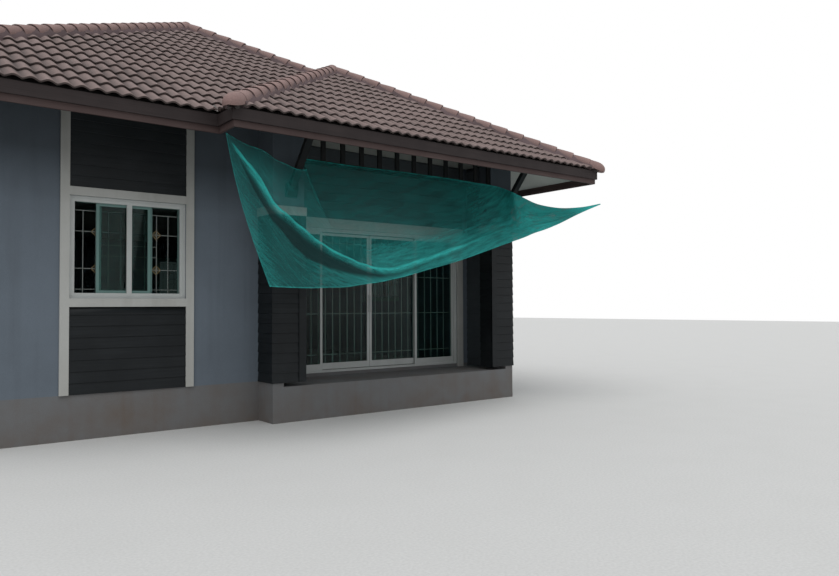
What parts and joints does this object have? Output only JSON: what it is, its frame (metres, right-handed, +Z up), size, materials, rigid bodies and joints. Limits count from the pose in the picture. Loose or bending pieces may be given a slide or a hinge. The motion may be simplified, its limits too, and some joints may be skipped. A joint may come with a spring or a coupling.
{
  "type": "single-storey house",
  "caption": "Hollow single-storey house with tiled hip roofs, an open terrace wing, a glazed sliding door and a shade net.",
  "frame": {"origin": "on the ground, under the middle of the square body of the house, on the underside of its foundation", "axes": "+Z up, +Y from the street to the back of the house, +X to the right seen from the street"},
  "size_m": [10.4, 12.8, 6.5178],
  "materials": {
    "grey_plinth": "painted cement render, matt",
    "grey_render": "painted cement render, matt",
    "dark_boards": "painted fibre-cement boards, satin",
    "cream_trim": "painted, satin",
    "white_aluminium": "powder-coated, satin",
    "window_glass": "green-tinted float glass",
    "white_paint": "painted, satin",
    "pale_board": "painted fibre-cement sheet, matt",
    "black_paint": "painted steel, satin",
    "roof_tile": "painted concrete tile, matt",
    "cap_tile": "painted concrete tile, matt",
    "brown_board": "painted board, satin",
    "red_board": "painted board, satin",
    "shade_net": "knitted plastic net"
  },
  "bodies": {
    "house": {"foundation": "grey_plinth", "floor_slab": "grey_plinth", "wall_front": "grey_render", "wall_left": "grey_render", "wall_right": "grey_render", "wall_back": "grey_render", "terrace_wall_left": "grey_render", "terrace_wall_right": "grey_render", "pier_left": "grey_render", "pier_right": "grey_render", "door_wall_left": "grey_render", "door_wall_right": "grey_render", "door_wall_top": "grey_render", "pier_cladding": "dark_boards", "board_panels": "dark_boards", "pier_bands": "cream_trim", "door_trim": "cream_trim", "window_trims": "cream_trim", "door_frame": "white_aluminium", "fixed_panels": "white_aluminium", "window_frames": "white_aluminium", "fixed_glass": "window_glass", "window_glass": "window_glass", "side_door": "white_paint", "ceiling": "pale_board", "terrace_ceiling": "pale_board", "soffits": "pale_board", "porch_beam": "black_paint", "porch_header": "black_paint", "porch_slats": "black_paint", "knee_braces": "black_paint", "roof_front": "roof_tile", "roof_left": "roof_tile", "roof_back": "roof_tile", "roof_right": "roof_tile", "roof_wing_front": "roof_tile", "roof_wing_left": "roof_tile", "hip_caps": "cap_tile", "fascia_upper": "brown_board", "fascia_lower": "red_board", "shade_net": "shade_net"},
    "door_left": {"door_leaf_left": "white_aluminium", "leaf_glass_left": "window_glass"},
    "door_right": {"door_leaf_right": "white_aluminium", "leaf_glass_right": "window_glass"}
  },
  "joints": [
    {"name": "door_left_slide", "type": "slide", "parent": "house", "child": "door_left", "axis": [-1, 0, 0], "range_m": [0, 0.73]},
    {"name": "door_right_slide", "type": "slide", "parent": "house", "child": "door_right", "axis": [1, 0, 0], "range_m": [0, 0.73]}
  ]
}
